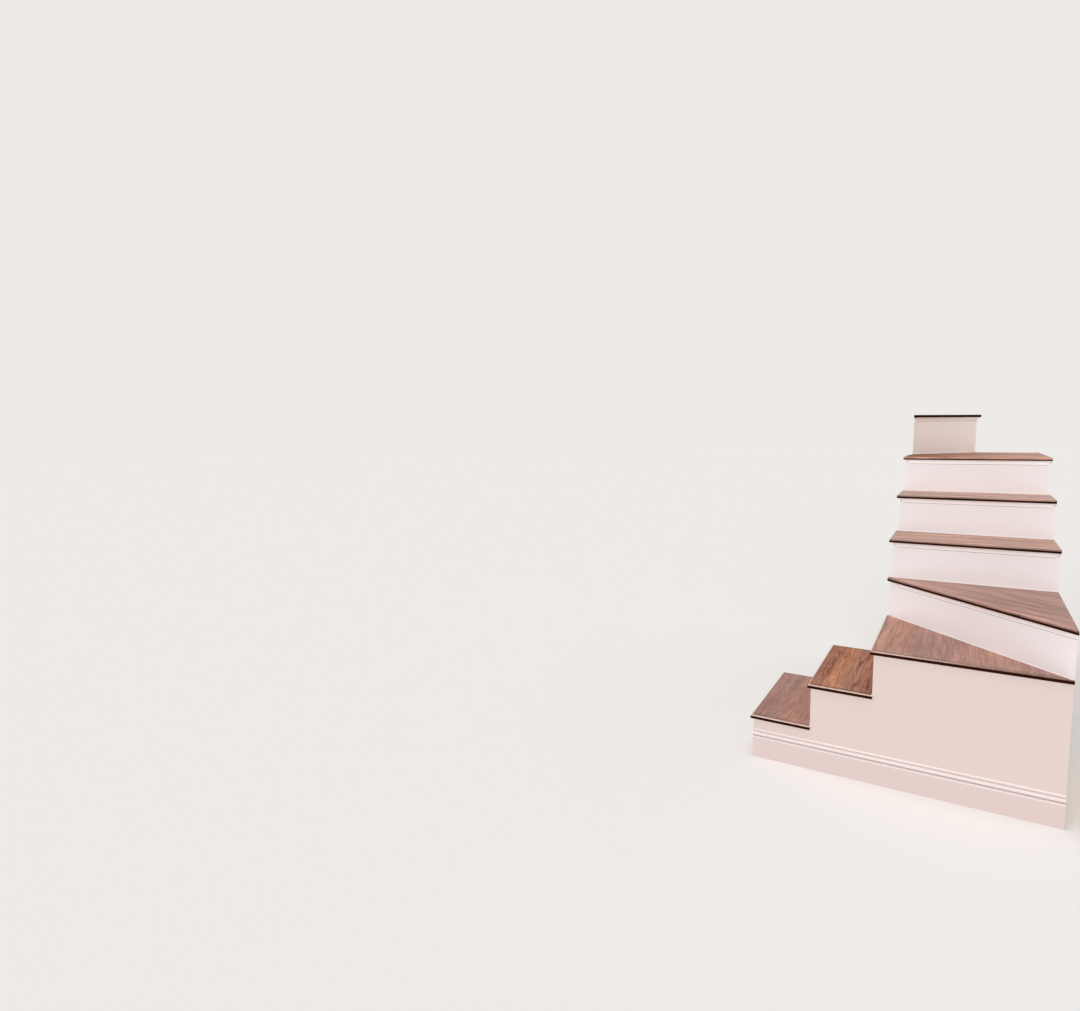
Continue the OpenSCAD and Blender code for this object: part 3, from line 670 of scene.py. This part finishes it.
# Under the left overhang of each upper tread, from its own riser to the next, and under the
# landing's as far as its back end
for i, from_y, to_y in ((4, -0.002, 0.019), (5, 0.019, 0.359), (6, 0.359, 0.699),
                        (7, 0.699, 1.629)):
    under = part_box("tread_%d" % i)[0].z
    caulk_bead("caulk_under_tread_%d_side" % i, (0, from_y, under), (0, to_y, under), to_left, down,
               under_leg)
base_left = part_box("baseboard_front")[0].x
base_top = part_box("baseboard_front")[1].z
caulk_bead("caulk_baseboard_front", (base_left, panel_y, base_top), (side_x, panel_y, base_top),
           to_front, up, base_leg)
caulk_bead("caulk_baseboard_back", (base_left, 0, base_top), (0, 0, base_top), to_back, up,
           base_leg)


# Screws: hardened steel, zinc plated and passivated yellow. Each is driven until its head is level
# with the wood, and its cross recess is left open, because nobody looks under the stair.
zinc, tree = new_material("yellow_zinc_plated_steel")
place = put(tree, "TexCoord", out="Object")
# The passivation's cloudy patches, 2 mm across
mottle = put(tree, "TexNoise", {"Vector": place, "Scale": 600.0, "Detail": 3.0}, out=0)
plating = put(tree, "Mix", {0: mottle, 6: linear("#c9b06a"), 7: linear("#d9c69a")}, out=2,
              data_type="RGBA")
dull = put(tree, "MapRange", {0: mottle, 1: 0.3, 2: 0.7, 3: 0.3, 4: 0.5}, out=0)
zinc_shader = put(tree, "BsdfPrincipled",
                  {"Base Color": plating, "Metallic": 1.0, "Roughness": dull}, out=0)
put(tree, "OutputMaterial", {"Surface": zinc_shader})


def screw_heads(name, spots, looks):
    """Countersunk heads at each (x, y, z) of spots, looking along looks."""
    head_r, proud, cone = 0.0042, 0.0002, 0.0022
    recess_long, recess_wide, recess_deep = 0.0022, 0.0006, 0.0014
    heads = bmesh.new()
    for spot in spots:
        one = bmesh.new()
        turns = [math.tau * i / 24 for i in range(24)]
        rim = [one.verts.new((head_r * math.cos(t), head_r * math.sin(t), 0)) for t in turns]
        a, b = recess_long, recess_wide
        cross = ((a, -b), (a, b), (b, b), (b, a), (-b, a), (-b, b), (-a, b), (-a, -b), (-b, -b),
                 (-b, -a), (b, -a), (b, -b))
        lip = [one.verts.new((x, y, proud)) for x, y in cross]
        floor = [one.verts.new((x * 0.6, y * 0.8, -recess_deep)) for x, y in cross]
        tip = [one.verts.new((v.co.x * 0.5, v.co.y * 0.5, -cone)) for v in rim]
        loops = [one.edges.new((ring[i], ring[(i + 1) % len(ring)])) for ring in (rim, lip)
                 for i in range(len(ring))]
        bmesh.ops.triangle_fill(one, edges=loops, use_beauty=True)
        for ring, deeper in ((lip, floor), (rim, tip)):
            for i in range(len(ring)):
                j = (i + 1) % len(ring)
                one.faces.new((ring[i], ring[j], deeper[j], deeper[i]))
        one.faces.new(floor)
        one.faces.new(tip)
        bmesh.ops.recalc_face_normals(one, faces=one.faces)
        spin = Matrix.Rotation(hand.uniform(0, math.pi / 2), 4, "Z")
        aim = Vector(looks).to_track_quat("Z", "Y").to_matrix().to_4x4()
        one.transform(Matrix.Translation(Vector(spot) + Vector(looks) * proud) @ aim @ spin)
        part = bpy.data.meshes.new("one_head")
        one.to_mesh(part)
        one.free()
        heads.from_mesh(part)
        bpy.data.meshes.remove(part)
    mesh = bpy.data.meshes.new(name)
    heads.to_mesh(mesh)
    heads.free()
    mesh.materials.append(zinc)
    piece = bpy.data.objects.new(name, mesh)
    bpy.context.scene.collection.objects.link(piece)
    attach(piece, "root")


for i in (5, 6):
    low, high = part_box("tread_cleat_%d" % i)
    screw_heads("cleat_screws_%d" % i,
                [(low.x + (high.x - low.x) * share, low.y, (low.z + high.z) / 2)
                 for share in (0.08, 0.36, 0.64, 0.92)], to_front)
low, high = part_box("landing_joist_1")
screw_heads("joist_screws_1", [(x, low.y, z) for x in (low.x + 0.02, high.x - 0.02)
                               for z in (low.z + 0.022, high.z - 0.022)], to_front)
# Through the right stringer: at each y one or two screws, at these heights
inner_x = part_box("wall_stringer")[0].x
screw_heads("stringer_screws",
            [(inner_x, y, z) for y, heights in (
                (0.12, (0.972,)), (0.27, (0.972,)), (0.46, (0.985, 1.14)), (0.60, (0.985, 1.14)),
                (0.79, (0.985, 1.24)), (0.98, (0.985, 1.24))) for z in heights], to_left)
